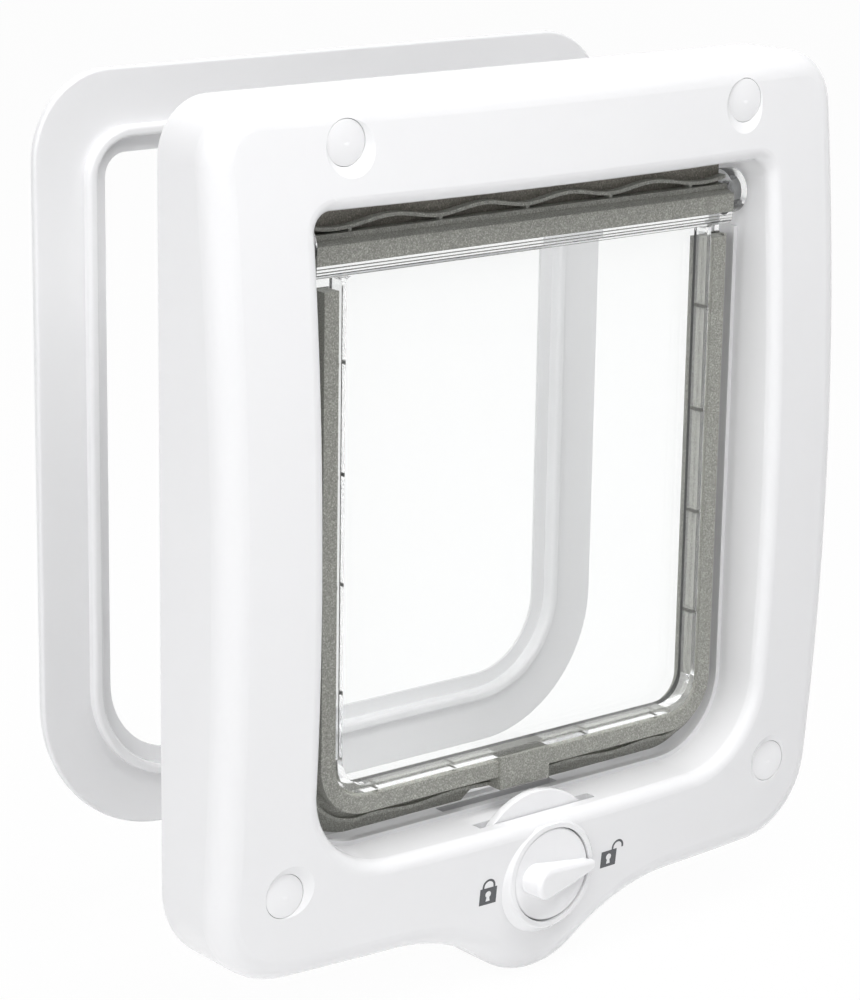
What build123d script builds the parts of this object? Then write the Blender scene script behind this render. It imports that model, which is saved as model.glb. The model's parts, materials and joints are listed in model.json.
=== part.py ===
from build123d import *
import math
import os

# Two-way cat flap. Millimetres. X runs across the door, Z up and Y into the door.
# The door's face is Y = 0, the room is at negative Y, and the origin is the centre of the passage.

# Front frame: outline
FRAME_WIDTH = 200.0
FRAME_TOP = 107.0
FRAME_BOTTOM = -108.0
TOP_CORNER_R = 14.0
LOWER_CORNER_R = 22.0
BULGE_HALF_WIDTH = 46.0
BULGE_DROP = 16.6
BULGE_R = 22.0

# Front frame: crowned face and moulded walls
CROWN_DEPTH = 33.1
CROWN_Z = -6.0
CROWN_R = 830.0
FRAME_EDGE_R = 7.0
WALL = 2.5
RIB = 1.6
SIDE_RIBS_Z = (-50.0, -15.0, 20.0, 52.0)
TOP_RIBS_X = (20.0, 44.0)
LOWER_RIB_X = 45.0

# Passage through the front frame
PASSAGE_WIDTH = 145.6
PASSAGE_HEIGHT = 162.0
PASSAGE_TOP_R = 5.0
PASSAGE_LOWER_R = 22.0
PASSAGE_EDGE_R = 3.0
LIP_HEIGHT = 1.2
LIP_FRONT_Y = -13.5
LIP_BACK_Y = -11.5
LIP_TOP_DROP = 19.0
THRESHOLD_HEIGHT = 1.2
THRESHOLD_DEPTH = 4.5

# Frame screws and their caps
UPPER_SCREW_INSET = 36.2
UPPER_SCREW_DROP = 10.4
LOWER_SCREW_INSET = 18.7
LOWER_SCREW_RISE = 24.0
SCREW_R = 1.9
SCREW_SHANK_R = 2.1
SCREW_HEAD_R = 3.8
SCREW_HEAD_HEIGHT = 2.6
SCREW_LENGTH = 30.0
SCREW_POINT = 5.0
SCREW_SEAT_DEPTH = 7.0
SCREW_CLEARANCE = 0.3
CAP_R = 5.5
CAP_THICKNESS = 1.6
CAP_SKIRT_LENGTH = 4.0
CAP_SKIRT_WALL = 1.0
CAP_DOME = 0.4
CAP_GAP = 0.15
DISH_DEPTH = 0.6
DISH_FLARE = 0.95
BOSS_WALL = 3.0

# Flap: hinge and clear moulding
HINGE_Y = -11.5
HINGE_DROP = 9.7
HINGE_BARREL_R = 5.9
HINGE_PIN_R = 2.5
HINGE_PIN_LENGTH = 5.0
HINGE_PIN_CLEARANCE = 0.05
HINGE_BOSS_R = 6.0
HINGE_END_GAP = 0.8
FLAP_SIDE_GAP = 5.6
FLAP_SILL_GAP = 7.3
FLAP_LOWER_R = 16.0
PANE_THICKNESS = 2.5
PANE_FRONT_Y = -12.4
RIM_WALL = 1.4
RIM_SILL = 1.8
RIM_DEPTH = 4.8
TOP_RAIL_HEIGHT = 3.3
TOP_RAIL_CHAMFER = 1.2

# Flap: grey seals
SEAL_WIDTH = 5.2
SEAL_INSET = 2.2
SEAL_DEPTH = 5.1
SEAL_TOP_GAP = 3.0
SEAL_CHANNEL = 0.9
TOP_SEAL_HEIGHT = 5.9
TOP_SEAL_DROP = 4.4
TOP_SEAL_DEPTH = 3.6
TOP_SEAL_SLOPE = 1.3
TOP_SHELF_RISE = 1.5
FIN_THICKNESS = 0.9
FIN_SIDE_GAP = 2.6
FIN_SILL_GAP = 2.4
TOP_FIN_REACH = 3.2
RIDGE_THICKNESS = 0.9
RIDGE_DEPTH = 2.6
LOWER_RIDGE_DEPTH = 1.2
RIDGE_WAVE = 0.8
RIDGE_GAP = 2.4
POST_PITCH = 27.5
POST_WIDTH = 1.0
LOWER_POST_INSETS = (4.2, 29.2)
SIDE_POSTS_Z = (-40.0, -12.5, 15.0, 42.5)
TONGUE_CLEARANCE = 1.8

# Tongue under the flap and the two magnets
TONGUE_WIDTH = 16.4
TONGUE_THICKNESS = 6.0
TONGUE_FRONT_Y = -18.2
MAGNET_LENGTH = 12.0
MAGNET_THICKNESS = 3.6
MAGNET_HEIGHT = 3.8
MAGNET_SKIN = 1.0
MAGNET_GAP = 0.05

# Lock: knob, half-moon cam and cover
LOCK_DROP = 15.1
KNOB_R = 12.3
KNOB_GAP = 0.3
KNOB_THICKNESS = 2.4
KNOB_SINK = 0.4
KNOB_SHAFT_R = 4.0
SHAFT_CLEARANCE = 0.06
RING_WIDTH = 1.8
RING_FLARE = 1.9
RING_HEIGHT = 1.6
GRIP_END_R = 4.2
GRIP_END_X = -5.6
GRIP_TIP_X = 14.0
GRIP_TIP_R = 1.6
GRIP_HEIGHT = 7.0
GRIP_TIP_HEIGHT = 1.7
GRIP_ROOT = 0.5
GRIP_DRAFT = 3.0
GRIP_ROUND = 1.1
CAM_OPEN_R = 20.8
CAM_LOCK_R = 22.8
CAM_HIDDEN_R = 12.0
CAM_PLATE = 2.4
CAM_FRONT_Y = -23.4
CAM_REAR_Y = -6.2
CAM_HUB_R = 6.0
CAM_KEY = 5.4
CAM_KEY_GAP = 0.05
CAM_SLOT_GAP = 0.4
TONGUE_LIFT = 0.4
KNOB_SCREW_R = 1.25
KNOB_SCREW_HEAD_R = 2.6
KNOB_SCREW_HEAD_HEIGHT = 1.8
KNOB_SCREW_GRIP = 7.0
COVER_THICKNESS = 2.0
COVER_HALF_WIDTH = 37.0
COVER_GAP = 0.3
COVER_SCREW_X = 31.5
COVER_SCREW_R = 1.4
COVER_SCREW_HEAD_R = 2.8
COVER_SCREW_LENGTH = 9.0
COVER_BOSS_R = 3.4

# Rear frame, standing apart behind the front frame
REAR_Y = 63.0
REAR_LIFT = 3.9
REAR_WIDTH = 186.6
REAR_HEIGHT = 201.6
REAR_TOP_R = 22.0
REAR_LOWER_R = 39.0
REAR_THICKNESS = 1.8
REAR_PASSAGE_LIFT = 3.2
REAR_PASSAGE_WIDTH = 144.4
REAR_PASSAGE_HEIGHT = 160.0
REAR_PASSAGE_TOP_R = 6.0
REAR_PASSAGE_LOWER_R = 21.0
COLLAR_STEP = 4.1
COLLAR_WALL = 2.8
COLLAR_HEIGHT = 2.6
COLLAR_ROUND = 1.0
REAR_EDGE_R = 0.8

PASSAGE_TOP = PASSAGE_HEIGHT / 2
SILL_Z = -PASSAGE_HEIGHT / 2
LIP_TOP_Z = PASSAGE_TOP - LIP_TOP_DROP
HINGE_Z = PASSAGE_TOP - HINGE_DROP
FLAP_WIDTH = PASSAGE_WIDTH - 2 * FLAP_SIDE_GAP
FLAP_BOTTOM = SILL_Z + FLAP_SILL_GAP
STRAIGHT_HALF = FLAP_WIDTH / 2 - FLAP_LOWER_R
LOCK_Z = SILL_Z - LOCK_DROP
UPPER_SCREW_X = FRAME_WIDTH / 2 - UPPER_SCREW_INSET
UPPER_SCREW_Z = FRAME_TOP - UPPER_SCREW_DROP
LOWER_SCREW_X = FRAME_WIDTH / 2 - LOWER_SCREW_INSET
LOWER_SCREW_Z = FRAME_BOTTOM + LOWER_SCREW_RISE
SCREWS = {
    "upper_left": (-UPPER_SCREW_X, UPPER_SCREW_Z),
    "upper_right": (UPPER_SCREW_X, UPPER_SCREW_Z),
    "lower_left": (-LOWER_SCREW_X, LOWER_SCREW_Z),
    "lower_right": (LOWER_SCREW_X, LOWER_SCREW_Z),
}
BEYOND = 20.0


def prism(sketch, y_front, y_back):
    """Extrude a sketch drawn in X and Z between two depths."""
    return extrude(Plane.XZ.offset(-y_back) * sketch, y_back - y_front)


def across(sketch, x_start, x_end):
    """Extrude a sketch drawn in Y and Z between two places across the door."""
    return extrude(Plane.YZ.offset(x_start) * sketch, x_end - x_start)


def rod(radius, y_front, y_back, x=0.0, z=0.0):
    return prism(Pos(x, z) * Circle(radius), y_front, y_back)


def block(x, y, z):
    """Box from three (low, high) pairs."""
    centre = [(low + high) / 2 for low, high in (x, y, z)]
    return Pos(*centre) * Box(x[1] - x[0], y[1] - y[0], z[1] - z[0])


def turned(points, x, z):
    """Revolve a profile of (radius, y) points about an axis along Y."""
    profile = make_face(Polyline(*points, close=True))
    return Pos(x, 0, z) * revolve(profile, Axis.Y)


def frame_outline():
    half = FRAME_WIDTH / 2
    bulge_z = FRAME_BOTTOM - BULGE_DROP + BULGE_R
    rise = bulge_z - FRAME_BOTTOM
    flare_r = (BULGE_HALF_WIDTH**2 + rise**2 - BULGE_R**2) / (2 * (BULGE_R - rise))
    lean = math.degrees(math.atan2(BULGE_HALF_WIDTH, rise + flare_r))
    top_x = half - TOP_CORNER_R
    low_x = half - LOWER_CORNER_R
    top_z = FRAME_TOP - TOP_CORNER_R
    low_z = FRAME_BOTTOM + LOWER_CORNER_R
    flare_z = FRAME_BOTTOM - flare_r
    return make_face([
        Line((-top_x, FRAME_TOP), (top_x, FRAME_TOP)),
        CenterArc((top_x, top_z), TOP_CORNER_R, 0, 90),
        Line((half, top_z), (half, low_z)),
        CenterArc((low_x, low_z), LOWER_CORNER_R, -90, 90),
        Line((low_x, FRAME_BOTTOM), (BULGE_HALF_WIDTH, FRAME_BOTTOM)),
        CenterArc((BULGE_HALF_WIDTH, flare_z), flare_r, 90, lean),
        CenterArc((0, bulge_z), BULGE_R, -90 - lean, 2 * lean),
        CenterArc((-BULGE_HALF_WIDTH, flare_z), flare_r, 90 - lean, lean),
        Line((-BULGE_HALF_WIDTH, FRAME_BOTTOM), (-low_x, FRAME_BOTTOM)),
        CenterArc((-low_x, low_z), LOWER_CORNER_R, 180, 90),
        Line((-half, low_z), (-half, top_z)),
        CenterArc((-top_x, top_z), TOP_CORNER_R, 90, 90),
    ])


def portal(width, top, bottom, top_r, lower_r):
    """Rectangle in X and Z with one radius at its top corners and another at its lower ones."""
    half = width / 2
    return make_face([
        Line((-half + top_r, top), (half - top_r, top)),
        CenterArc((half - top_r, top - top_r), top_r, 0, 90),
        Line((half, top - top_r), (half, bottom + lower_r)),
        CenterArc((half - lower_r, bottom + lower_r), lower_r, -90, 90),
        Line((half - lower_r, bottom), (-half + lower_r, bottom)),
        CenterArc((-half + lower_r, bottom + lower_r), lower_r, 180, 90),
        Line((-half, bottom + lower_r), (-half, top - top_r)),
        CenterArc((-half + top_r, top - top_r), top_r, 90, 90),
    ])


def passage(grow=0.0):
    return portal(
        PASSAGE_WIDTH + 2 * grow,
        PASSAGE_TOP + grow,
        SILL_Z - grow,
        PASSAGE_TOP_R + grow,
        PASSAGE_LOWER_R + grow,
    )


def crown(inset):
    """Ball whose front is the crowned face, or a surface set back from it by an inset."""
    return Pos(0, CROWN_R - CROWN_DEPTH, CROWN_Z) * Sphere(CROWN_R - inset)


def face_y(x, z):
    """Depth of the crowned face at a place on the front frame."""
    return CROWN_R - CROWN_DEPTH - math.sqrt(CROWN_R**2 - x**2 - (z - CROWN_Z) ** 2)


def foremost(solid):
    return solid.faces().sort_by(Axis.Y)[0]


def cap_seat_y(x, z):
    return face_y(x, z) + DISH_DEPTH


LOCK_FACE_Y = face_y(0, LOCK_Z)
RING_Y = LOCK_FACE_Y - RING_HEIGHT
KNOB_FRONT_Y = RING_Y + KNOB_SINK
KNOB_BACK_Y = KNOB_FRONT_Y + KNOB_THICKNESS
BEARING_Y = CAM_FRONT_Y - COVER_GAP
COVER_SCREW_Z = LOCK_Z + 1.5
SILL_SLOT_HALF = math.sqrt(CAM_LOCK_R**2 - (SILL_Z - WALL - LOCK_Z) ** 2) + CAM_SLOT_GAP


def front_frame():
    """Moulded frame: a crowned shell, open behind, with bosses, ribs and the lock's housing."""
    outline = frame_outline()
    body = prism(outline, -CROWN_DEPTH - BEYOND, 0) & crown(0)
    body = fillet(foremost(body).edges(), FRAME_EDGE_R)
    body -= prism(passage(), -CROWN_DEPTH - BEYOND, BEYOND)
    body = fillet(foremost(body).inner_wires()[0].edges(), PASSAGE_EDGE_R)

    hollow = Part()
    for inset, depth in ((WALL, WALL + FRAME_EDGE_R), (WALL + FRAME_EDGE_R / 2, WALL)):
        core = offset(outline, -inset) - passage(WALL)
        hollow += prism(core, -CROWN_DEPTH - BEYOND, BEYOND) & crown(depth)
    hollow += cam_room()

    inside = frame_ribs() + magnet_pocket()
    inside += rod(KNOB_R + WALL, -CROWN_DEPTH, BEARING_Y, 0, LOCK_Z)
    for x, z in SCREWS.values():
        inside += rod(CAP_R + BOSS_WALL, -CROWN_DEPTH, 0, x, z)
    for side in (-1, 1):
        inside += rod(COVER_BOSS_R, -CROWN_DEPTH, -COVER_THICKNESS, side * COVER_SCREW_X, COVER_SCREW_Z)
        inside += hinge_boss(side)
    frame = body - (hollow - inside)

    frame += lock_ring() + passage_lips()
    for x, z in SCREWS.values():
        frame -= cap_recess(x, z)
    frame -= lock_cuts()
    for side in (-1, 1):
        frame -= hinge_bearing(side)
    return frame


def cam_room():
    """Round room behind the face for the cam to turn in, below the sill."""
    radius = CAM_LOCK_R + CAM_SLOT_GAP
    below_sill = block((-radius, radius), (-CROWN_DEPTH, BEYOND), (LOCK_Z - radius, SILL_Z - WALL))
    return rod(radius, BEARING_Y, BEYOND, 0, LOCK_Z) & below_sill


def frame_ribs():
    """Webs that tie the outer wall to the passage wall inside the shell."""
    ribs = Part()
    depth = (-CROWN_DEPTH, -WALL)
    half = RIB / 2
    for side in (-1, 1):
        for z in SIDE_RIBS_Z:
            ends = sorted((side * PASSAGE_WIDTH / 2, side * FRAME_WIDTH / 2))
            ribs += block(ends, depth, (z - half, z + half))
        for x in TOP_RIBS_X:
            ribs += block((side * x - half, side * x + half), depth, (PASSAGE_TOP, FRAME_TOP))
        x = side * LOWER_RIB_X
        ribs += block((x - half, x + half), depth, (FRAME_BOTTOM, SILL_Z))
    return ribs


def hinge_boss(side):
    wall_x = PASSAGE_WIDTH / 2
    ends = sorted((side * wall_x, side * (wall_x + HINGE_PIN_LENGTH + WALL)))
    return across(Pos(HINGE_Y, HINGE_Z) * Circle(HINGE_BOSS_R), *ends)


def hinge_bearing(side):
    """Blind hole in the passage wall for a hinge pin."""
    wall_x = PASSAGE_WIDTH / 2
    ends = sorted((side * (wall_x - 1), side * (wall_x + HINGE_PIN_LENGTH)))
    return across(Pos(HINGE_Y, HINGE_Z) * Circle(HINGE_PIN_R + HINGE_PIN_CLEARANCE), *ends)


def cap_recess(x, z):
    """Soft dish in the face, the cap's counterbore and the screw hole through the boss."""
    seat = cap_seat_y(x, z)
    bore_r = CAP_R + CAP_GAP
    front = seat - BEYOND
    flare = DISH_FLARE * BEYOND / DISH_DEPTH
    dish = turned([(0, seat), (bore_r, seat), (bore_r + flare, front), (0, front)], x, z)
    return (
        dish
        + rod(bore_r, seat - DISH_DEPTH, -SCREW_SEAT_DEPTH, x, z)
        + rod(SCREW_SHANK_R + SCREW_CLEARANCE, -SCREW_SEAT_DEPTH, BEYOND, x, z)
    )


def lock_ring():
    """Raised ring round the knob, flaring into the face."""
    inner = KNOB_R + KNOB_GAP
    outer = inner + RING_WIDTH
    sunk = LOCK_FACE_Y + WALL
    tilt = (outer + RING_FLARE) * abs(LOCK_Z - CROWN_Z) / CROWN_R
    ring = turned([
        (inner, sunk),
        (inner, RING_Y),
        (outer - RING_WIDTH / 3, RING_Y),
        (outer, RING_Y + RING_WIDTH / 3),
        (outer + RING_FLARE, LOCK_FACE_Y + tilt),
        (outer + RING_FLARE, sunk),
    ], 0, LOCK_Z)
    reach = outer + RING_FLARE
    below_edge = block((-reach, reach), (-CROWN_DEPTH, 0), (LOCK_Z - reach, SILL_Z - PASSAGE_EDGE_R / 2))
    return ring & crown(-RING_HEIGHT * 2) & below_edge


def lock_cuts():
    """Knob recess, shaft bearing, cover screw holes and the sill slots that the cam rises through."""
    cuts = rod(KNOB_R + KNOB_GAP, RING_Y - BEYOND, KNOB_BACK_Y, 0, LOCK_Z)
    cuts += rod(KNOB_SHAFT_R + SHAFT_CLEARANCE, KNOB_BACK_Y - 1, BEARING_Y + 1, 0, LOCK_Z)
    for front in (CAM_FRONT_Y, CAM_REAR_Y - CAM_PLATE):
        cuts += block(
            (-SILL_SLOT_HALF, SILL_SLOT_HALF),
            (front - CAM_SLOT_GAP, front + CAM_PLATE + CAM_SLOT_GAP),
            (SILL_Z - WALL - 1, SILL_Z + THRESHOLD_HEIGHT + 1),
        )
    for side in (-1, 1):
        front = -COVER_THICKNESS - COVER_SCREW_LENGTH
        cuts += rod(COVER_SCREW_R, front, BEYOND, side * COVER_SCREW_X, COVER_SCREW_Z)
    return cuts


def magnet_pocket():
    """Open-bottomed box under the sill that holds the lower magnet."""
    half = MAGNET_LENGTH / 2 + MAGNET_GAP
    centre = TONGUE_FRONT_Y + TONGUE_THICKNESS / 2
    deep = MAGNET_THICKNESS / 2 + MAGNET_GAP
    low = SILL_Z - WALL - MAGNET_HEIGHT
    outer = block(
        (-half - MAGNET_SKIN, half + MAGNET_SKIN),
        (centre - deep - MAGNET_SKIN, centre + deep + MAGNET_SKIN),
        (low, SILL_Z),
    )
    return outer - block((-half, half), (centre - deep, centre + deep), (low - 1, SILL_Z - WALL))


def passage_lips():
    """Thin lip round the sides and sill of the passage beside the pane, and a step at its back."""
    lip = prism(passage() - passage(-LIP_HEIGHT), LIP_FRONT_Y, LIP_BACK_Y)
    lip &= block((-FRAME_WIDTH, FRAME_WIDTH), (-CROWN_DEPTH, 0), (SILL_Z - 1, LIP_TOP_Z))
    step = prism(passage() - passage(-THRESHOLD_HEIGHT), -THRESHOLD_DEPTH, 0)
    step &= block((-FRAME_WIDTH, FRAME_WIDTH), (-CROWN_DEPTH, 0), (SILL_Z - 1, LIP_TOP_Z))
    return lip + step


def screw_cap(x, z):
    """Domed press-in cap with a plug skirt, standing in the bottom of its dish."""
    rim = cap_seat_y(x, z) + CAP_DOME / 2
    inside = rim + CAP_THICKNESS
    back = inside + CAP_SKIRT_LENGTH
    skirt_r = CAP_R - CAP_SKIRT_WALL
    dome_r = (CAP_R**2 + CAP_DOME**2) / (2 * CAP_DOME)
    spread = math.degrees(math.asin(CAP_R / dome_r))
    profile = make_face([
        CenterArc((0, rim - CAP_DOME + dome_r), dome_r, -90, spread),
        Polyline(
            (CAP_R, rim),
            (CAP_R, back),
            (skirt_r, back),
            (skirt_r, inside),
            (0, inside),
            (0, rim - CAP_DOME),
        ),
    ])
    return Pos(x, 0, z) * revolve(profile, Axis.Y)


def frame_screw(x, z):
    """Pan-head wood screw with a plain neck in the frame and its thread's core in the door."""
    seat = -SCREW_SEAT_DEPTH
    tip = seat + SCREW_LENGTH
    crown_y = seat - SCREW_HEAD_HEIGHT
    return turned([
        (0, crown_y),
        (SCREW_HEAD_R * 0.6, crown_y),
        (SCREW_HEAD_R, crown_y + SCREW_HEAD_HEIGHT / 2),
        (SCREW_HEAD_R, seat),
        (SCREW_SHANK_R, seat),
        (SCREW_SHANK_R, 0),
        (SCREW_R, 0),
        (SCREW_R, tip - SCREW_POINT),
        (0, tip),
    ], x, z)


def flap_sheet(inset, top):
    """Flap outline set in from its edge, cut square at the top."""
    half = FLAP_WIDTH / 2 - inset
    low = FLAP_BOTTOM + inset
    radius = FLAP_LOWER_R - inset
    return make_face([
        Line((-half, top), (half, top)),
        Line((half, top), (half, low + radius)),
        CenterArc((half - radius, low + radius), radius, -90, 90),
        Line((half - radius, low), (-half + radius, low)),
        CenterArc((-half + radius, low + radius), radius, 180, 90),
        Line((-half, low + radius), (-half, top)),
    ])


PANE_BACK_Y = PANE_FRONT_Y + PANE_THICKNESS
TOP_SEAL_FRONT_Y = PANE_FRONT_Y - SEAL_DEPTH
TOP_SEAL_BACK_Y = TOP_SEAL_FRONT_Y + TOP_SEAL_DEPTH
TOP_SEAL_LOW_Z = HINGE_Z - TOP_SEAL_DROP
TOP_SEAL_HIGH_Z = TOP_SEAL_LOW_Z + TOP_SEAL_HEIGHT
TOP_RAIL_LOW_Z = TOP_SEAL_LOW_Z - TOP_RAIL_HEIGHT
EDGE_SEAL_TOP_Z = TOP_RAIL_LOW_Z - SEAL_TOP_GAP
RIM_INSET = SEAL_INSET + SEAL_WIDTH
FIN_FRONT_Y = PANE_BACK_Y
FIN_BOTTOM_Z = SILL_Z + FIN_SILL_GAP
TONGUE_BOTTOM_Z = LOCK_Z + CAM_OPEN_R + TONGUE_LIFT
HINGE_END_X = PASSAGE_WIDTH / 2 - HINGE_END_GAP
TOP_SHELF_Z = HINGE_Z + TOP_SHELF_RISE


def flap_pane():
    """Clear moulding: window, rim, top rail, hinge barrel and its two pins."""
    pane = prism(flap_sheet(0, HINGE_Z), PANE_FRONT_Y, PANE_BACK_Y)
    front = PANE_FRONT_Y - RIM_DEPTH
    window = portal(
        FLAP_WIDTH - 2 * (RIM_INSET + RIM_WALL),
        TOP_RAIL_LOW_Z,
        FLAP_BOTTOM + RIM_INSET + RIM_SILL,
        RIM_WALL,
        FLAP_LOWER_R - RIM_INSET,
    )
    pane += prism(flap_sheet(RIM_INSET, TOP_RAIL_LOW_Z) - window, front, PANE_FRONT_Y)
    half = FLAP_WIDTH / 2
    rail = make_face(Polyline(
        (PANE_FRONT_Y, TOP_RAIL_LOW_Z),
        (PANE_FRONT_Y, TOP_SEAL_LOW_Z),
        (front, TOP_SEAL_LOW_Z),
        (front, TOP_RAIL_LOW_Z + TOP_RAIL_CHAMFER),
        (front + TOP_RAIL_CHAMFER, TOP_RAIL_LOW_Z),
        close=True,
    ))
    pane += across(rail, -half, half)
    barrel = across(Pos(HINGE_Y, HINGE_Z) * Circle(HINGE_BARREL_R), -HINGE_END_X, HINGE_END_X)
    length = (-half, half)
    barrel -= block(length, (HINGE_Y - BEYOND, TOP_SEAL_BACK_Y), (TOP_SEAL_LOW_Z, HINGE_Z + BEYOND))
    barrel -= block(length, (HINGE_Y - BEYOND, HINGE_Y + BEYOND), (TOP_SHELF_Z, HINGE_Z + BEYOND))
    pane += barrel
    pin_end = PASSAGE_WIDTH / 2 + HINGE_PIN_LENGTH - HINGE_END_GAP
    for side in (-1, 1):
        ends = sorted((side * half, side * pin_end))
        pane += across(Pos(HINGE_Y, HINGE_Z) * Circle(HINGE_PIN_R), *ends)
    return pane


def ridge(posts, end_x, z, sag, y_front, y_back):
    """Thin wavy ridge across the flap that comes down to each of its posts."""
    points = [(-end_x, z)]
    for here, after in zip(posts, posts[1:] + [None]):
        points.append((here, z - sag))
        if after is not None:
            points.append(((here + after) / 2, z + sag))
    points.append((end_x, z))
    lower = Spline(*points)
    upper = Spline(*[(x, height + RIDGE_THICKNESS) for x, height in points])
    ends = [Line(lower @ 0, upper @ 0), Line(lower @ 1, upper @ 1)]
    return prism(make_face([lower, upper] + ends), y_front, y_back)


def top_seal():
    """Grey bar on the hinge barrel, with a ridge and a fin behind it that close the gap above."""
    half = FLAP_WIDTH / 2
    length = (-half, half)
    fin_back = HINGE_Y + FIN_THICKNESS
    fin_top = HINGE_Z + HINGE_BARREL_R + TOP_FIN_REACH
    web_back = TOP_SEAL_BACK_Y
    web_front = web_back - FIN_THICKNESS
    bar = make_face(Polyline(
        (TOP_SEAL_FRONT_Y, TOP_SEAL_LOW_Z),
        (TOP_SEAL_BACK_Y, TOP_SEAL_LOW_Z),
        (TOP_SEAL_BACK_Y, TOP_SEAL_HIGH_Z),
        (TOP_SEAL_FRONT_Y, TOP_SEAL_HIGH_Z - TOP_SEAL_SLOPE),
        close=True,
    ))
    seal = across(bar, *length)
    seal += block(length, (web_front, web_back), (TOP_SEAL_LOW_Z, TOP_SHELF_Z + FIN_THICKNESS))
    seal += block(length, (web_front, fin_back), (TOP_SHELF_Z, TOP_SHELF_Z + FIN_THICKNESS))
    seal += block(length, (HINGE_Y, fin_back), (TOP_SHELF_Z, fin_top))
    count = int(half // POST_PITCH)
    posts = [step * POST_PITCH for step in range(-count, count + 1)]
    ridge_z = TOP_SHELF_Z + RIDGE_GAP
    seal += ridge(posts, half, ridge_z, RIDGE_WAVE, HINGE_Y - RIDGE_DEPTH, HINGE_Y + FIN_THICKNESS / 2)
    for x in posts:
        seal += block(
            (x - POST_WIDTH / 2, x + POST_WIDTH / 2),
            (HINGE_Y - RIDGE_DEPTH, HINGE_Y),
            (TOP_SHELF_Z, ridge_z - RIDGE_WAVE + RIDGE_THICKNESS / 2),
        )
    return seal


def edge_seal():
    """Grey U-shaped strip with the magnet's tongue, and a fin behind it that reaches for the passage."""
    top = EDGE_SEAL_TOP_Z
    over = top + 1
    fin_back = FIN_FRONT_Y + FIN_THICKNESS
    strip = flap_sheet(SEAL_INSET, top) - flap_sheet(RIM_INSET, over)
    seal = prism(strip, PANE_FRONT_Y - SEAL_DEPTH, PANE_FRONT_Y)
    hem = -FIN_THICKNESS
    seal -= seal_channel()
    seal += prism(flap_sheet(hem, top) - flap_sheet(RIM_INSET - 1, over), PANE_FRONT_Y + hem, PANE_FRONT_Y)
    seal += prism(flap_sheet(hem, top) - flap_sheet(0, over), PANE_FRONT_Y + hem, fin_back)
    fin = portal(
        PASSAGE_WIDTH - 2 * FIN_SIDE_GAP,
        top,
        FIN_BOTTOM_Z,
        FIN_THICKNESS,
        PASSAGE_LOWER_R - FIN_SIDE_GAP,
    )
    fin = prism(fin - flap_sheet(SEAL_INSET, over), FIN_FRONT_Y, fin_back)
    fin += lower_ridge()
    half = TONGUE_WIDTH / 2
    arch_r = CAM_OPEN_R + TONGUE_CLEARANCE
    below_strip = block((-arch_r, arch_r), (-CROWN_DEPTH, 0), (LOCK_Z, FLAP_BOTTOM + hem))
    fin -= rod(arch_r, -CROWN_DEPTH, 0, 0, LOCK_Z) & below_strip
    tongue = block((-half, half), (TONGUE_FRONT_Y, PANE_FRONT_Y), (TONGUE_BOTTOM_Z, FLAP_BOTTOM + RIM_INSET))
    tongue_back = TONGUE_FRONT_Y + TONGUE_THICKNESS
    tongue += block((-half, half), (TONGUE_FRONT_Y, tongue_back), (TONGUE_BOTTOM_Z, FLAP_BOTTOM + hem / 2))
    return seal + fin + tongue - flap_magnet(MAGNET_GAP)


def lower_posts():
    """Places of the posts along the flap's straight lower edge, set in from its corners."""
    return sorted(side * (STRAIGHT_HALF - inset) for side in (-1, 1) for inset in LOWER_POST_INSETS)


def seal_channel():
    """Narrow channel between the strip and the clear rim, bridged by small posts."""
    top = EDGE_SEAL_TOP_Z
    depth = (PANE_FRONT_Y - SEAL_DEPTH, PANE_FRONT_Y)
    channel = prism(flap_sheet(RIM_INSET - SEAL_CHANNEL, top) - flap_sheet(RIM_INSET, top + 1), *depth)
    post = POST_WIDTH / 2
    for z in SIDE_POSTS_Z:
        channel -= block((-FLAP_WIDTH, FLAP_WIDTH), (depth[0] + POST_WIDTH, 0), (z - post, z + post))
    for x in lower_posts():
        channel -= block((x - post, x + post), (depth[0] + POST_WIDTH, 0), (SILL_Z, FLAP_BOTTOM + RIM_INSET))
    return channel


def lower_ridge():
    """Bead round the front of the strip's hem, wavy along the bottom and no lower than the tongue."""
    z = TONGUE_BOTTOM_Z + RIDGE_WAVE / 2
    reach = FLAP_BOTTOM - z
    front = PANE_FRONT_Y - FIN_THICKNESS - LOWER_RIDGE_DEPTH
    back = PANE_FRONT_Y - FIN_THICKNESS / 2
    wave = ridge(lower_posts(), STRAIGHT_HALF, z, -RIDGE_WAVE / 2, front, back)
    sides = flap_sheet(-reach, EDGE_SEAL_TOP_Z) - flap_sheet(RIDGE_THICKNESS - reach, EDGE_SEAL_TOP_Z + 1)
    bottom = block((-STRAIGHT_HALF, STRAIGHT_HALF), (-CROWN_DEPTH, 0), (SILL_Z, FLAP_BOTTOM + RIM_INSET))
    return wave + (prism(sides, front, back) - bottom)


def flap_magnet(grow=0.0):
    half = MAGNET_LENGTH / 2 + grow
    back = PANE_FRONT_Y - MAGNET_SKIN
    low = TONGUE_BOTTOM_Z + MAGNET_SKIN
    return block(
        (-half, half),
        (back - MAGNET_THICKNESS - grow, back + grow),
        (low - grow, low + MAGNET_HEIGHT + grow),
    )


def sill_magnet():
    centre = TONGUE_FRONT_Y + TONGUE_THICKNESS / 2
    top = SILL_Z - WALL
    return block(
        (-MAGNET_LENGTH / 2, MAGNET_LENGTH / 2),
        (centre - MAGNET_THICKNESS / 2, centre + MAGNET_THICKNESS / 2),
        (top - MAGNET_HEIGHT, top),
    )


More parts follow.
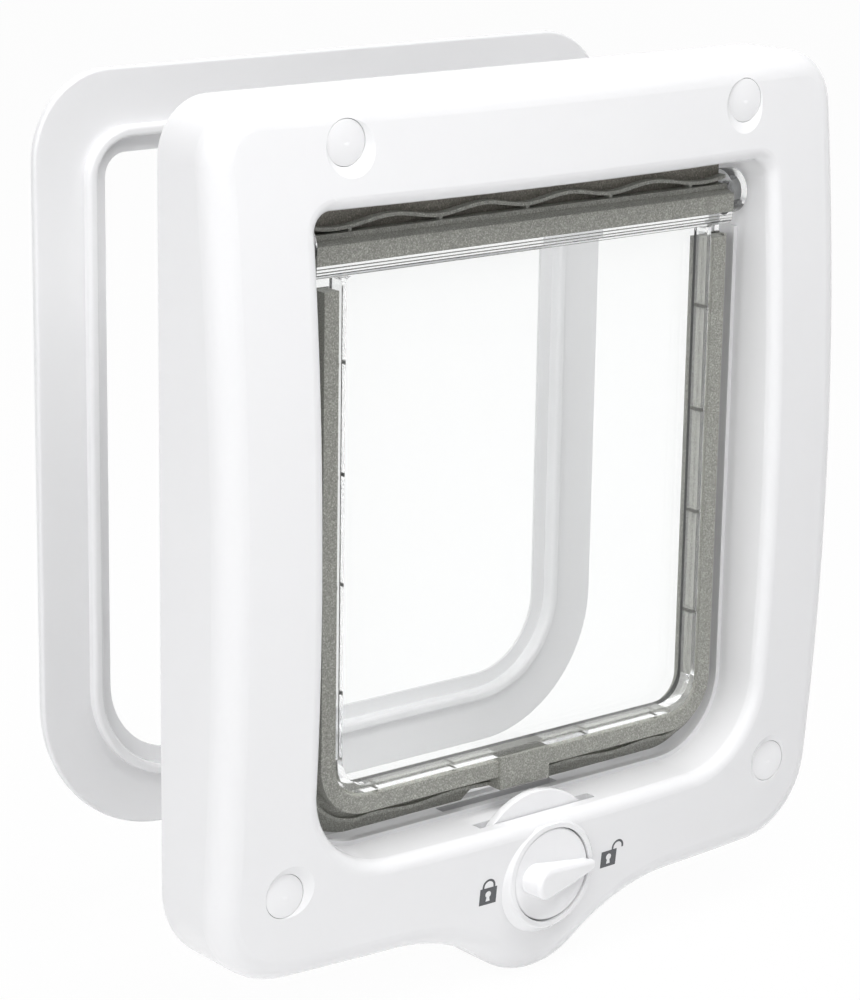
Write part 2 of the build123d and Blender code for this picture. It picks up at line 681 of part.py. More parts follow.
def teardrop():
    """Grip outline: a round end tapering to a narrow tip."""
    reach = GRIP_TIP_X - GRIP_TIP_R - GRIP_END_X
    slope = math.asin((GRIP_END_R - GRIP_TIP_R) / reach)
    tip_x = GRIP_END_X + reach
    end = (GRIP_END_X + GRIP_END_R * math.sin(slope), GRIP_END_R * math.cos(slope))
    tip = (tip_x + GRIP_TIP_R * math.sin(slope), GRIP_TIP_R * math.cos(slope))
    degrees = math.degrees(slope)
    return make_face([
        CenterArc((GRIP_END_X, 0), GRIP_END_R, 90 - degrees, 180 + 2 * degrees),
        Line((end[0], -end[1]), (tip[0], -tip[1])),
        CenterArc((tip_x, 0), GRIP_TIP_R, degrees - 90, 180 - 2 * degrees),
        Line(tip, end),
    ])


def knob_grip():
    """Teardrop that falls from its round end to its tip, which reaches out over the ring."""
    tail = GRIP_END_X - GRIP_END_R - 1
    nose = GRIP_TIP_X + 1
    base = Plane.XZ.offset(-KNOB_FRONT_Y - GRIP_ROOT) * teardrop()
    grip = extrude(base, GRIP_HEIGHT + GRIP_ROOT, taper=GRIP_DRAFT)
    high = KNOB_FRONT_Y - GRIP_HEIGHT
    above = make_face(Polyline(
        (tail, high),
        (nose, KNOB_FRONT_Y - GRIP_TIP_HEIGHT),
        (nose, high - 1),
        (tail, high - 1),
        close=True,
    ))
    grip -= extrude(Plane.XY.offset(-KNOB_R) * above, 2 * KNOB_R)
    grip = fillet(foremost(grip).edges(), GRIP_ROUND)
    over_ring = (KNOB_R - GRIP_ROOT, 2 * KNOB_R)
    return grip - block(over_ring, (RING_Y - KNOB_GAP, 0), (-KNOB_R, KNOB_R))


def lock_knob():
    """Disc with a teardrop grip in front and a square-ended shaft behind."""
    disc = rod(KNOB_R, KNOB_FRONT_Y, KNOB_BACK_Y - KNOB_GAP / 3)
    disc = fillet(foremost(disc).edges(), KNOB_GAP * 2)
    knob = disc + knob_grip()
    knob += rod(KNOB_SHAFT_R, KNOB_BACK_Y - KNOB_GAP, CAM_FRONT_Y)
    key = Rectangle(CAM_KEY, CAM_KEY)
    knob += prism(key, CAM_FRONT_Y, CAM_REAR_Y - CAM_PLATE)
    knob -= rod(KNOB_SCREW_R, CAM_REAR_Y - CAM_PLATE - KNOB_SCREW_GRIP, 0)
    return Pos(0, 0, LOCK_Z) * knob


def half_disc(upper_r, lower_r):
    upper = Circle(upper_r) & Pos(0, upper_r) * Rectangle(2 * upper_r, 2 * upper_r)
    lower = Circle(lower_r) & Pos(0, -lower_r) * Rectangle(2 * lower_r, 2 * lower_r)
    return upper + lower


def lock_cam():
    """Spool on the knob's shaft: the half-moon plate in front of the tongue and one behind it."""
    hub = rod(CAM_HUB_R, CAM_FRONT_Y, CAM_REAR_Y)
    front = prism(half_disc(CAM_OPEN_R, CAM_LOCK_R), CAM_FRONT_Y, CAM_FRONT_Y + CAM_PLATE)
    rear = prism(half_disc(CAM_HIDDEN_R, CAM_LOCK_R), CAM_REAR_Y - CAM_PLATE, CAM_REAR_Y)
    journal = rod(KNOB_SHAFT_R, CAM_REAR_Y, 0)
    cam = hub + front + rear + journal
    hole = CAM_KEY + 2 * CAM_KEY_GAP
    cam -= prism(Rectangle(hole, hole), CAM_FRONT_Y - 1, CAM_REAR_Y - CAM_PLATE + CAM_KEY_GAP)
    cam -= rod(KNOB_SCREW_R + CAM_KEY_GAP, CAM_FRONT_Y, 1)
    cam -= rod(KNOB_SCREW_HEAD_R + CAM_KEY_GAP, -KNOB_SCREW_HEAD_HEIGHT - CAM_KEY_GAP, 1)
    return Pos(0, 0, LOCK_Z) * cam


def knob_screw():
    """Screw that draws the cam onto the knob's shaft from behind."""
    seat = -CAM_KEY_GAP
    tip = CAM_REAR_Y - CAM_PLATE - KNOB_SCREW_GRIP + KNOB_GAP
    radius = KNOB_SCREW_R - CAM_KEY_GAP
    return turned([
        (0, seat),
        (KNOB_SCREW_HEAD_R, seat),
        (KNOB_SCREW_HEAD_R, seat - KNOB_SCREW_HEAD_HEIGHT),
        (radius, seat - KNOB_SCREW_HEAD_HEIGHT),
        (radius, tip + radius),
        (0, tip),
    ], 0, LOCK_Z)


def lock_cover():
    """Plate that closes the lock's housing behind and carries the cam's rear journal."""
    inner = offset(frame_outline(), -WALL - COVER_GAP)
    top = SILL_Z - WALL - COVER_GAP
    height = top - (FRAME_BOTTOM - BULGE_DROP)
    shape = inner & Pos(0, top - height / 2) * Rectangle(2 * COVER_HALF_WIDTH, height)
    cover = prism(shape, -COVER_THICKNESS, 0)
    cover += rod(KNOB_SHAFT_R + WALL, CAM_REAR_Y + COVER_GAP, -COVER_THICKNESS, 0, LOCK_Z)
    cover -= rod(KNOB_SHAFT_R + SHAFT_CLEARANCE, CAM_REAR_Y, BEYOND, 0, LOCK_Z)
    for side in (-1, 1):
        cover -= rod(COVER_SCREW_R + COVER_GAP, -BEYOND, BEYOND, side * COVER_SCREW_X, COVER_SCREW_Z)
        cover -= rod(
            COVER_SCREW_HEAD_R + COVER_GAP, -COVER_THICKNESS / 2, BEYOND, side * COVER_SCREW_X, COVER_SCREW_Z
        )
    return cover


def cover_screw(side):
    seat = -COVER_THICKNESS / 2
    tip = -COVER_THICKNESS - COVER_SCREW_LENGTH + KNOB_GAP
    radius = COVER_SCREW_R - 2 * MAGNET_GAP
    return turned([
        (0, 0),
        (COVER_SCREW_HEAD_R, 0),
        (COVER_SCREW_HEAD_R, seat),
        (radius, seat),
        (radius, tip + radius),
        (0, tip),
    ], side * COVER_SCREW_X, COVER_SCREW_Z)


def rear_frame():
    """Thin trim frame for the far side of the door, with a collar round its passage."""
    top = REAR_LIFT + REAR_HEIGHT / 2
    bottom = REAR_LIFT - REAR_HEIGHT / 2

    def ring(grow):
        return portal(
            REAR_PASSAGE_WIDTH + 2 * grow,
            REAR_PASSAGE_LIFT + REAR_PASSAGE_HEIGHT / 2 + grow,
            REAR_PASSAGE_LIFT - REAR_PASSAGE_HEIGHT / 2 - grow,
            REAR_PASSAGE_TOP_R + grow,
            REAR_PASSAGE_LOWER_R + grow,
        )

    outline = portal(REAR_WIDTH, top, bottom, REAR_TOP_R, REAR_LOWER_R)
    flange = prism(outline, REAR_Y, REAR_Y + REAR_THICKNESS)
    flange = fillet(foremost(flange).edges(), REAR_EDGE_R)
    frame = flange + prism(ring(COLLAR_STEP + COLLAR_WALL), REAR_Y - COLLAR_HEIGHT, REAR_Y)
    frame -= prism(ring(COLLAR_STEP), REAR_Y - COLLAR_HEIGHT, REAR_Y + REAR_THICKNESS / 2)
    frame -= prism(ring(0), REAR_Y - BEYOND, REAR_Y + BEYOND)
    frame = fillet(foremost(frame).edges(), COLLAR_ROUND)
    return frame


def main():
    parts = {
        "front_frame": front_frame(),
        "rear_frame": rear_frame(),
        "frame_screws": Compound(children=[frame_screw(x, z) for x, z in SCREWS.values()]),
        "flap_pane": flap_pane(),
        "top_seal": top_seal(),
        "edge_seal": edge_seal(),
        "flap_magnet": flap_magnet(),
        "sill_magnet": sill_magnet(),
        "lock_knob": lock_knob(),
        "lock_cam": lock_cam(),
        "knob_screw": knob_screw(),
        "lock_cover": lock_cover(),
        "cover_screws": Compound(children=[cover_screw(side) for side in (-1, 1)]),
    }
    for place, (x, z) in SCREWS.items():
        parts[f"screw_cap_{place}"] = screw_cap(x, z)
    os.makedirs("parts", exist_ok=True)
    for name, shape in parts.items():
        export_step(shape, f"parts/{name}.step")


main()
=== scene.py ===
"""Looks, light and camera for the cat flap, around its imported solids. Metres, Z up."""

import json
import math

import bmesh
import bpy
from mathutils import Matrix, Vector
from mathutils.bvhtree import BVHTree


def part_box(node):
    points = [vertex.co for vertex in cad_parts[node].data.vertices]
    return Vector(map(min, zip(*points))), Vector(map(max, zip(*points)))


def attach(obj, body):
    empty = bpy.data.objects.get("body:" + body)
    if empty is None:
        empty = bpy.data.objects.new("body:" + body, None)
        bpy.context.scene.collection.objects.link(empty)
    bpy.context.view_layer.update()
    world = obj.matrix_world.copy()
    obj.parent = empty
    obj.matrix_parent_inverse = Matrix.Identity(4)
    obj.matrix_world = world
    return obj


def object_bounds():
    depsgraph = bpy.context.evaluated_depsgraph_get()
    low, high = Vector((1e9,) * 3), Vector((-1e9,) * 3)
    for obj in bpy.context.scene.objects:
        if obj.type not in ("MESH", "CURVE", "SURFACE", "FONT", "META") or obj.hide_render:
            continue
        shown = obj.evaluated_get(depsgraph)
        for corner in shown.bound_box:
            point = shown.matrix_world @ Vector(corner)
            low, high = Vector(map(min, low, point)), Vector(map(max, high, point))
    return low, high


MM = 0.001

# Camera, fitted to the photograph.
CAMERA_PLACE = Vector((-0.5127, -0.6057, 0.2099))
CAMERA_AZIMUTH = math.radians(-39.24)
CAMERA_ELEVATION = math.radians(15.07)
CAMERA_ROLL = math.radians(0.92)
CAMERA_LENS = 134.9
CAMERA_SENSOR = 36.0

# Printed padlock symbols, in millimetres: their places from the knob's axis and their sizes.
CLOSED_PADLOCK = (-19.7, -0.6)
OPEN_PADLOCK = (21.1, 0.0)
PADLOCK_WIDTH = 5.4
PADLOCK_LOW = -3.45
PADLOCK_TOP = 1.15
SHACKLE_WIDTH = 0.62
SHACKLE_R = 1.75
SHACKLE_LEG = 0.4
OPEN_SHACKLE_X = 2.9
KEYHOLE_Z = -0.69
KEYHOLE_R = 0.9
KEYHOLE_FOOT = 1.9
KEYHOLE_FOOT_HALF = 0.675
KEYHOLE_ANGLES = (-60, 240)
ARC_STEPS = 18
PRINT_LIFT = 0.03
PRINT_LONGEST_EDGE = 1.2
PRINT_CUTS = 2

# Threads on the frame screws, and flat black crosses of painted shade that stand for the cross recesses in
# the screw heads at the back, in millimetres.
THREAD_CORE_R = 1.9
THREAD_CREST_R = 2.4
THREAD_PITCH = 1.8
THREAD_HALF_WIDTH = 0.4
THREAD_START_Y = 1.0
SCREW_POINT = 5.5
STEPS_PER_TURN = 20
CROSS_REACH = 1.5
CROSS_HALF_WIDTH = 0.35

# Thin grey skins of the seal, in millimetres: insets from the flap's edge, depth behind the seal's front, and
# where each half ends beside the middle. One lies in the channel's floor and one on the back of the pane.
CHANNEL_SKIN = {"insets": (6.54, 7.36), "depth": 3.8, "end_x": 8.2}
BACK_SKIN = {"insets": (2.25, 8.6), "depth": 8.36, "end_x": 0.0}
SKIN_TOP_GAP = 0.2
SKIN_STEPS = 12
FLAP_CORNER_R = 16.0

# Fine grey lines of painted reflection in the clear top rail, for the hinge bar's image refracted in it, in
# millimetres below the hinge bar, on the back of the pane.
RAIL_LINE_DROPS = (2.95, 2.15)
RAIL_LINE_WIDTH = 0.3

# Where the hinge seal lies deep in its gap, in millimetres before the hinge's axis, and the tint of the
# painted shade there.
GAP_FRONT = 0.7
GAP_BACK = 0.1
GAP_SHADE_TINT = (0.6, 0.56, 0.52)

# Colours of the white mouldings; the caps' white is lighter than the frame's as painted light, for the
# brighter reflection the caps show.
WHITE = (0.87, 0.87, 0.88)
LIT_CAP_WHITE = (0.91, 0.91, 0.92)
LOCK_WHITE = (0.9, 0.9, 0.91)

# Edge softening of the small mouldings, in millimetres.
SOFTENED = {
    "flap_pane": 0.25,
    "top_seal": 0.3,
    "edge_seal": 0.3,
    "lock_knob": 0.4,
    "lock_cam": 0.25,
    "lock_cover": 0.2,
}
SOFTENED_ANGLE = math.radians(40)
WELD_DISTANCE = 0.01

# Studio: the sky, the floor, and each lamp's place, width, power and whether gloss shows it.
SKY_COLOUR = (0.98, 0.985, 1.0, 1.0)
SKY_STRENGTH = 0.2
FLOOR_SIZE = 8.0
FLOOR_GLOW = 0.97
LAMPS = {
    "top": ((0.0, -0.4, 0.95), 0.8, 9.5, True),
    "left": ((-1.0, -0.35, 0.3), 0.8, 5.2, False),
    "fill": ((0.9, -0.7, 0.35), 0.9, 0.35, True),
    "back": ((0.1, 0.9, 0.9), 1.0, 1.8, True),
}


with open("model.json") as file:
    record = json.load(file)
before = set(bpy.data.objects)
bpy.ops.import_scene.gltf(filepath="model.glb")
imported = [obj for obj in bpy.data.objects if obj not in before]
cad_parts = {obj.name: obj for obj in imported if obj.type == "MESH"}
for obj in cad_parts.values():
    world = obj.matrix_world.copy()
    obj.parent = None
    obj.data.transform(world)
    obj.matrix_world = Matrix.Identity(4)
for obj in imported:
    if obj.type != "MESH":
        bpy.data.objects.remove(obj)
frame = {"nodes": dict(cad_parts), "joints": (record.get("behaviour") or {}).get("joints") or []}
cad_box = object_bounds()
nodes = frame["nodes"]


def box_mm(name):
    """Lowest and highest corner of a node, in millimetres."""
    low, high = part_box(name)
    return low / MM, high / MM


def axis_mm(name):
    """A point on a joint's axis, in millimetres."""
    joint = next(joint for joint in frame["joints"] if joint["name"] == name)
    return Vector(joint["pos_m"]) / MM


def material(name, **sockets):
    """New material with one principled shader whose sockets hold the given constants."""
    made = bpy.data.materials.new(name)
    made.use_nodes = True
    shader = made.node_tree.nodes["Principled BSDF"]
    for socket, value in sockets.items():
        shader.inputs[socket.replace("_", " ")].default_value = value
    return made


def add(made, kind, **values):
    """Add a node to a material and set its inputs and properties."""
    node = made.node_tree.nodes.new(kind)
    for key, value in values.items():
        socket = key.replace("_", " ")
        if socket in node.inputs:
            node.inputs[socket].default_value = value
        else:
            setattr(node, key, value)
    return node


def link(made, source, output, target, socket):
    made.node_tree.links.new(source.outputs[output], target.inputs[socket])


def noise(made, scale, detail=3.0, roughness=0.5):
    """Noise in the object's own coordinates."""
    place = add(made, "ShaderNodeTexCoord")
    texture = add(made, "ShaderNodeTexNoise", Scale=scale, Detail=detail, Roughness=roughness)
    link(made, place, "Object", texture, "Vector")
    return texture


def ramp(made, texture, stops):
    """Colour ramp on a texture, from (place, colour) stops."""
    node = add(made, "ShaderNodeValToRGB")
    elements = node.color_ramp.elements
    while len(elements) < len(stops):
        elements.new(0.5)
    for element, (place, colour) in zip(elements, stops):
        element.position = place
        element.color = (*colour, 1.0)
    link(made, texture, "Fac", node, "Fac")
    return node


def grey(value):
    return (value, value, value)


def bump(made, texture, strength, distance):
    shader = made.node_tree.nodes["Principled BSDF"]
    node = add(made, "ShaderNodeBump", Strength=strength, Distance=distance)
    link(made, texture, "Fac", node, "Height")
    link(made, node, "Normal", shader, "Normal")


def drive(made, texture, socket, stops):
    """Drive one of the shader's sockets from a texture through a ramp."""
    shader = made.node_tree.nodes["Principled BSDF"]
    link(made, ramp(made, texture, stops), "Color", shader, socket)


def white_plastic(name, colour, roughness):
    """Glossy moulded white with a faint flow mottle and a very shallow surface ripple."""
    made = material(name, IOR=1.5, Specular_IOR_Level=0.25, Roughness=roughness)
    darker = tuple(channel * 0.994 for channel in colour)
    drive(made, noise(made, 35.0), "Base Color", [(0.3, darker), (0.7, colour)])
    bump(made, noise(made, 900.0, 2.0), 0.05, 0.0001)
    return made


def clear_acrylic():
    """Clear moulding with a trace of flow ripple and fine scuffs in its gloss."""
    made = material("clear_acrylic", Base_Color=(0.985, 0.992, 0.99, 1.0), IOR=1.32, Transmission_Weight=0.94)
    scuffs = noise(made, 400.0, 5.0)
    drive(made, scuffs, "Roughness", [(0.55, grey(0.0)), (0.8, grey(0.05))])
    bump(made, noise(made, 60.0, 1.0), 0.004, 0.0002)
    return made


def grey_seal():
    """Soft grey moulding with a spark-eroded grain; its brightest specks are glossier and also lightened in
    colour as painted glints.
    """
    made = material("grey_seal", IOR=1.5)
    grain = noise(made, 3000.0, 2.0, 0.6)
    # Grain tones, with the brightest specks lightened as painted glints.
    drive(made, grain, "Base Color", [
        (0.3, (0.19, 0.192, 0.172)),
        (0.6, (0.34, 0.342, 0.31)),
        (0.75, (0.64, 0.64, 0.6)),
    ])
    drive(made, grain, "Roughness", [(0.35, grey(0.62)), (0.75, grey(0.32))])
    bump(made, grain, 0.7, 0.0002)
    return made


def hinge_seal():
    """The same grey moulding, with painted shade that darkens and warms it deep in the gap above the flap."""
    made = grey_seal()
    shader = made.node_tree.nodes["Principled BSDF"]
    unshaded = shader.inputs["Base Color"].links[0].from_node
    place = add(made, "ShaderNodeTexCoord")
    split = add(made, "ShaderNodeSeparateXYZ")
    link(made, place, "Object", split, "Vector")
    hinge_y = axis_mm("flap_swing").y
    reach = {"From_Min": (hinge_y - GAP_FRONT) * MM, "From_Max": (hinge_y - GAP_BACK) * MM}
    depth = add(made, "ShaderNodeMapRange", **reach)
    link(made, split, "Y", depth, "Value")
    # Painted shade: the seal's colour is darkened towards the back of the gap, where it lies in shadow.
    gap_shade = add(made, "ShaderNodeMixRGB", blend_type="MULTIPLY", Color2=(*GAP_SHADE_TINT, 1.0))
    link(made, depth, "Result", gap_shade, "Fac")
    link(made, unshaded, "Color", gap_shade, "Color1")
    link(made, gap_shade, "Color", shader, "Base Color")
    return made


def ferrite():
    """Matt black sintered magnet."""
    made = material("ferrite", Metallic=0.1)
    grain = noise(made, 1500.0, 4.0)
    drive(made, grain, "Base Color", [(0.3, grey(0.03)), (0.7, grey(0.06))])
    drive(made, grain, "Roughness", [(0.3, grey(0.6)), (0.7, grey(0.8))])
    return made


def zinc_steel():
    """Bright zinc plate with a slightly uneven gloss."""
    made = material("zinc_steel", Metallic=1.0)
    plate = noise(made, 700.0, 4.0)
    drive(made, plate, "Base Color", [(0.3, (0.55, 0.56, 0.57)), (0.7, (0.68, 0.69, 0.69))])
    drive(made, plate, "Roughness", [(0.3, grey(0.22)), (0.7, grey(0.38))])
    bump(made, plate, 0.05, 0.0001)
    return made


def print_ink():
    """Dark grey pad-printing ink."""
    made = material("print_ink")
    ink = noise(made, 2500.0, 3.0)
    drive(made, ink, "Base Color", [(0.3, (0.085, 0.088, 0.095)), (0.7, (0.11, 0.113, 0.12))])
    drive(made, ink, "Roughness", [(0.3, grey(0.45)), (0.7, grey(0.55))])
    return made


frame_white = white_plastic("frame_white", WHITE, 0.16)
# Painted light: the caps get a lighter copy of the frame's white.
lit_cap_white = white_plastic("lit_cap_white", LIT_CAP_WHITE, 0.16)
rear_white = white_plastic("rear_white", WHITE, 0.2)
lock_white = white_plastic("lock_white", LOCK_WHITE, 0.18)
LOOKS = {
    "front_frame": frame_white,
    "rear_frame": rear_white,
    "screw_cap_upper_left": lit_cap_white,
    "screw_cap_upper_right": lit_cap_white,
    "screw_cap_lower_left": lit_cap_white,
    "screw_cap_lower_right": lit_cap_white,
    "lock_knob": lock_white,
    "lock_cam": lock_white,
    "lock_cover": rear_white,
    "flap_pane": clear_acrylic(),
    "top_seal": hinge_seal(),
    "edge_seal": grey_seal(),
    "flap_magnet": ferrite(),
    "sill_magnet": ferrite(),
    "frame_screws": zinc_steel(),
    "knob_screw": zinc_steel(),
    "cover_screws": zinc_steel(),
}


def dress():
    """Give every node its material, soften the small mouldings' edges and let light through the pane."""
    for name, node in nodes.items():
        node.data.materials.clear()
        node.data.materials.append(LOOKS[name])
        if name in SOFTENED:
            weld = node.modifiers.new("weld", "WELD")
            weld.merge_threshold = WELD_DISTANCE * MM
            edge = node.modifiers.new("edge", "BEVEL")
            edge.width = SOFTENED[name] * MM
            edge.segments = 2
            edge.limit_method = "ANGLE"
            edge.angle_limit = SOFTENED_ANGLE
            edge.harden_normals = True
    nodes["flap_pane"].visible_shadow = False


def show(name, mesh, look, body):
    """Show a drawn mesh in its look, moving with a body."""
    mesh.materials.append(look)
    drawn = bpy.data.objects.new(name, mesh)
    bpy.context.scene.collection.objects.link(drawn)
    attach(drawn, body)


def piece(name, verts, faces, look, body):
    """Small drawn piece, from points in millimetres."""
    mesh = bpy.data.meshes.new(name)
    mesh.from_pydata([Vector(vert) * MM for vert in verts], [], faces)
    show(name, mesh, look, body)


def arc(centre, radius, start, end, steps=ARC_STEPS):
    """Points along an arc between two angles in degrees."""
    angles = [math.radians(start + (end - start) * step / steps) for step in range(steps + 1)]
    return [(centre[0] + radius * math.cos(a), centre[1] + radius * math.sin(a)) for a in angles]


def padlock_shape(is_open):
    """Padlock outlines in millimetres, in two groups: the body with its keyhole, and the shackle."""
    half = PADLOCK_WIDTH / 2
    body = [(-half, PADLOCK_LOW), (half, PADLOCK_LOW), (half, PADLOCK_TOP), (-half, PADLOCK_TOP)]
    foot_z = KEYHOLE_Z - KEYHOLE_FOOT
    keyhole = arc((0.0, KEYHOLE_Z), KEYHOLE_R, *KEYHOLE_ANGLES)
    keyhole += [(-KEYHOLE_FOOT_HALF, foot_z), (KEYHOLE_FOOT_HALF, foot_z)]
    left_foot = PADLOCK_TOP - SHACKLE_WIDTH / 4
    right_foot = PADLOCK_TOP if is_open else left_foot
    centre = (OPEN_SHACKLE_X if is_open else 0.0, PADLOCK_TOP + SHACKLE_LEG)
    outer = SHACKLE_R + SHACKLE_WIDTH / 2
    inner = SHACKLE_R - SHACKLE_WIDTH / 2
    shackle = [(centre[0] - outer, left_foot)]
    shackle += arc(centre, outer, 180, 0)
    shackle += [(centre[0] + outer, right_foot), (centre[0] + inner, right_foot)]
    shackle += arc(centre, inner, 0, 180)
    shackle += [(centre[0] - inner, left_foot)]
    return [body, keyhole], [shackle]


def filled(name, loops):
    """Flat mesh that fills closed loops, with the loops inside others as holes."""
    curve = bpy.data.curves.new(name, "CURVE")
    curve.dimensions = "2D"
    curve.fill_mode = "BOTH"
    for loop in loops:
        spline = curve.splines.new("POLY")
        spline.points.add(len(loop) - 1)
        for point, (x, z) in zip(spline.points, loop):
            point.co = (x * MM, z * MM, 0.0, 1.0)
        spline.use_cyclic_u = True
    holder = bpy.data.objects.new(name, curve)
    flat = bpy.data.meshes.new_from_object(holder)
    bpy.data.objects.remove(holder)
    bpy.data.curves.remove(curve)
    return flat


def printed(name, groups, centre, surface):
    """Flat symbol laid onto the front face, a hair proud of it."""
    drawn = bmesh.new()
    for loops in groups:
        flat = filled(name, loops)
        drawn.from_mesh(flat)
        bpy.data.meshes.remove(flat)
    long_edges = [edge for edge in drawn.edges if edge.calc_length() > PRINT_LONGEST_EDGE * MM]
    bmesh.ops.subdivide_edges(drawn, edges=long_edges, cuts=PRINT_CUTS)
    bmesh.ops.triangulate(drawn, faces=drawn.faces)
    before_face = 2 * cad_box[0][1]
    for vert in drawn.verts:
        start = Vector((centre[0] * MM + vert.co.x, before_face, centre[1] * MM + vert.co.y))
        hit = surface.ray_cast(start, Vector((0, 1, 0)))
        vert.co = hit[0] - Vector((0, PRINT_LIFT * MM, 0))
    bmesh.ops.recalc_face_normals(drawn, faces=drawn.faces)
    mesh = bpy.data.meshes.new(name)
    drawn.to_mesh(mesh)
    drawn.free()
    show(name, mesh, print_ink(), "frame")


def symbols():
    """The two padlocks beside the knob."""
    mesh = nodes["front_frame"].data
    face = BVHTree.FromPolygons([v.co for v in mesh.vertices], [p.vertices for p in mesh.polygons])
    knob = axis_mm("lock_turn")
    for name, is_open, (x, z) in (("closed", False, CLOSED_PADLOCK), ("open", True, OPEN_PADLOCK)):
        printed(f"padlock_{name}", padlock_shape(is_open), (knob.x + x, knob.z + z), face)


def threads():
    """Helical thread on each frame screw, behind its cap, where it stands in the door."""
    end_y = box_mm("frame_screws")[1].y - SCREW_POINT
    steps = int((end_y - THREAD_START_Y) / THREAD_PITCH * STEPS_PER_TURN)
    section = ((THREAD_CORE_R, -THREAD_HALF_WIDTH), (THREAD_CREST_R, 0.0), (THREAD_CORE_R, THREAD_HALF_WIDTH))
    faces = []
    for row in range(0, 3 * steps, 3):
        faces.append((row, row + 1, row + 4, row + 3))
        faces.append((row + 1, row + 2, row + 5, row + 4))
        faces.append((row + 2, row, row + 3, row + 5))
    for count, corner in enumerate(("upper_left", "upper_right", "lower_left", "lower_right")):
        low, high = box_mm(f"screw_cap_{corner}")
        centre = (low + high) / 2
        verts = []
        for step in range(steps + 1):
            angle = 2 * math.pi * step / STEPS_PER_TURN
            y = THREAD_START_Y + THREAD_PITCH * step / STEPS_PER_TURN
            fade = min(1.0, step / STEPS_PER_TURN, (steps - step) / STEPS_PER_TURN)
            for radius, along in section:
                reach = THREAD_CORE_R + (radius - THREAD_CORE_R) * fade
                across = reach * math.cos(angle)
                up = reach * math.sin(angle)
                verts.append((centre.x + across, y + along, centre.z + up))
        piece(f"screw_thread_{count}", verts, faces, LOOKS["frame_screws"], "frame")


def back_screws():
    """Body and head's middle, in millimetres, of each screw that shows its head at the back."""
    low, high = box_mm("cover_screws")
    head_r = (high.z - low.z) / 2
    knob = axis_mm("lock_turn")
    return (
        ("frame", low.x + head_r, high.y, low.z + head_r),
        ("frame", high.x - head_r, high.y, low.z + head_r),
        ("lock", knob.x, box_mm("knob_screw")[1].y, knob.z),
    )


def recess_shade_crosses():
    """Flat black cross of painted shade for the recess in each screw head that shows at the back."""
    reach, half = CROSS_REACH, CROSS_HALF_WIDTH
    outline = [
        (-reach, -half), (-half, -half), (-half, -reach), (half, -reach), (half, -half), (reach, -half),
        (reach, half), (half, half), (half, reach), (-half, reach), (-half, half), (-reach, half),
    ]
    for count, (body, x, y, z) in enumerate(back_screws()):
        verts = [(x + across, y + PRINT_LIFT, z + up) for across, up in reversed(outline)]
        # Painted shade: a flat black cross, not a cut recess, darkens each screw head.
        piece(f"cross_recess_{count}", verts, [tuple(range(len(verts)))], LOOKS["flap_magnet"], body)


def seal_skin(name, insets, depth, end_x):
    """Thin U-shaped skin of the seal between two insets from the flap's edge, in two halves."""
    flap_half = box_mm("top_seal")[1].x
    flap_low = box_mm("flap_pane")[0].z
    seal_low, seal_high = box_mm("edge_seal")
    centre = (flap_half - FLAP_CORNER_R, flap_low + FLAP_CORNER_R)
    for half, side in (("left", -1), ("right", 1)):
        verts = []
        for inset in insets:
            row = [(flap_half - inset, seal_high.z - SKIN_TOP_GAP)]
            row += arc(centre, FLAP_CORNER_R - inset, 0, -90, SKIN_STEPS)
            row.append((end_x, flap_low + inset))
            verts += [(side * x, seal_low.y + depth, z) for x, z in row]
        count = len(verts) // 2
        faces = [(i, i + 1, count + i + 1, count + i) for i in range(count - 1)]
        piece(f"{name}_{half}", verts, faces, LOOKS["edge_seal"], "flap")


def rail_lines():
    """Fine grey lines of painted reflection seen through the clear rail under the hinge bar, for the bar's
    refracted image.
    """
    bar_low, bar_high = box_mm("top_seal")
    y = box_mm("edge_seal")[0].y + BACK_SKIN["depth"]
    # Painted reflection: grey strips behind the rail stand for the hinge bar's image refracted in it.
    for count, drop in enumerate(RAIL_LINE_DROPS):
        low = bar_low.z - drop
        high = low + RAIL_LINE_WIDTH
        verts = [(bar_low.x, y, low), (bar_high.x, y, low), (bar_high.x, y, high), (bar_low.x, y, high)]
        piece(f"rail_line_{count}", verts, [(0, 1, 2, 3)], LOOKS["edge_seal"], "flap")


def shown_ray(tree):
    """Socket that is 1 for rays that show the background: from the camera, in gloss or through glass."""
    path = tree.nodes.new("ShaderNodeLightPath")
    total = path.outputs["Is Camera Ray"]
    for ray in ("Is Glossy Ray", "Is Transmission Ray"):
        either = tree.nodes.new("ShaderNodeMath")
        either.operation = "MAXIMUM"
        tree.links.new(total, either.inputs[0])
        tree.links.new(path.outputs[ray], either.inputs[1])
        total = either.outputs["Value"]
    return total


def sky():
    """Soft sky that lights the part, behind a white backdrop that only shows."""
    world = bpy.data.worlds.new("studio")
    bpy.context.scene.world = world
    world.use_nodes = True
    tree = world.node_tree
    light = tree.nodes["Background"]
    light.inputs["Color"].default_value = SKY_COLOUR
    light.inputs["Strength"].default_value = SKY_STRENGTH
    backdrop = tree.nodes.new("ShaderNodeBackground")
    backdrop.inputs["Color"].default_value = (1.0, 1.0, 1.0, 1.0)
    mix = tree.nodes.new("ShaderNodeMixShader")
    tree.links.new(shown_ray(tree), mix.inputs["Fac"])
    tree.links.new(light.outputs["Background"], mix.inputs[1])
    tree.links.new(backdrop.outputs["Background"], mix.inputs[2])
    tree.links.new(mix.outputs["Shader"], tree.nodes["World Output"].inputs["Surface"])


def lamp(name, place, size, watts, in_gloss):
    """Square lamp that faces the part."""
    light = bpy.data.lights.new(name, "AREA")
    light.size = size
    light.energy = watts
    holder = bpy.data.objects.new(name, light)
    holder.location = place
    holder.rotation_euler = Vector(place).to_track_quat("Z", "Y").to_euler()
    holder.visible_glossy = in_gloss
    bpy.context.scene.collection.objects.link(holder)


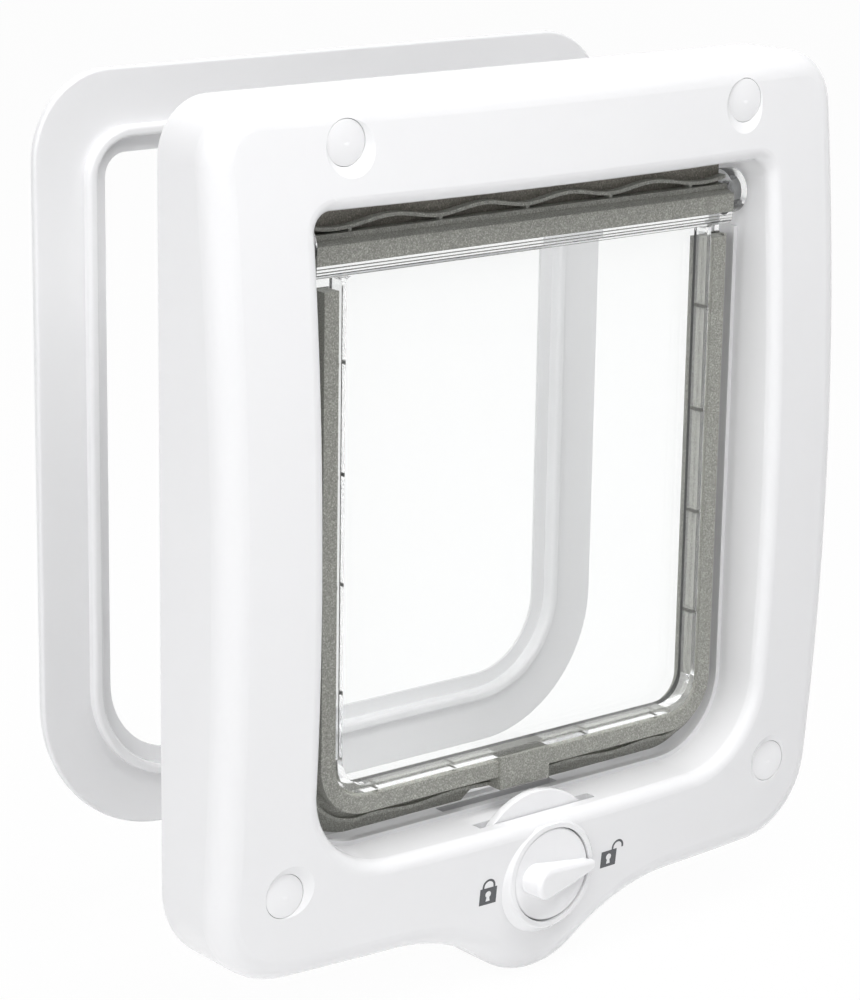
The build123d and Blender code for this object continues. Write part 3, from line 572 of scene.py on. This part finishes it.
def pale_floor():
    """Pale floor that glows where it shows and keeps a trace of shadow."""
    low = min(corner[2] for corner in cad_box)
    bpy.ops.mesh.primitive_plane_add(size=FLOOR_SIZE, location=(0, 0, low))
    floor = bpy.context.object
    floor.name = "floor"
    pale = material("pale_floor", Roughness=0.9)
    drive(pale, noise(pale, 20.0), "Base Color", [(0.3, grey(0.9)), (0.7, grey(0.92))])
    tree = pale.node_tree
    glow = tree.nodes.new("ShaderNodeEmission")
    share = tree.nodes.new("ShaderNodeMath")
    share.operation = "MULTIPLY"
    share.inputs[1].default_value = FLOOR_GLOW
    tree.links.new(shown_ray(tree), share.inputs[0])
    mix = tree.nodes.new("ShaderNodeMixShader")
    tree.links.new(share.outputs["Value"], mix.inputs["Fac"])
    tree.links.new(tree.nodes["Principled BSDF"].outputs["BSDF"], mix.inputs[1])
    tree.links.new(glow.outputs["Emission"], mix.inputs[2])
    tree.links.new(mix.outputs["Shader"], tree.nodes["Material Output"].inputs["Surface"])
    floor.data.materials.append(pale)


def studio():
    """White studio: sky, lamps and floor."""
    sky()
    for name, (place, size, watts, in_gloss) in LAMPS.items():
        lamp(name, place, size, watts, in_gloss)
    pale_floor()


def camera():
    """Camera that shows the part as the photograph does."""
    az, el, roll = CAMERA_AZIMUTH, CAMERA_ELEVATION, CAMERA_ROLL
    back = Vector((math.sin(az) * math.cos(el), -math.cos(az) * math.cos(el), math.sin(el)))
    right = Vector((math.cos(az), math.sin(az), 0.0))
    up = back.cross(right)
    across = math.cos(roll) * right + math.sin(roll) * up
    upright = math.cos(roll) * up - math.sin(roll) * right
    view = bpy.data.cameras.new("camera")
    view.sensor_fit = "HORIZONTAL"
    view.sensor_width = CAMERA_SENSOR
    view.lens = CAMERA_LENS
    holder = bpy.data.objects.new("camera", view)
    turn = Matrix((across, upright, back)).transposed()
    holder.matrix_world = Matrix.Translation(CAMERA_PLACE) @ turn.to_4x4()
    bpy.context.scene.collection.objects.link(holder)
    bpy.context.scene.camera = holder


dress()
symbols()
threads()
recess_shade_crosses()
seal_skin("channel_skin", **CHANNEL_SKIN)
seal_skin("back_skin", **BACK_SKIN)
rail_lines()
studio()
camera()
bpy.context.scene.view_settings.view_transform = "Standard"
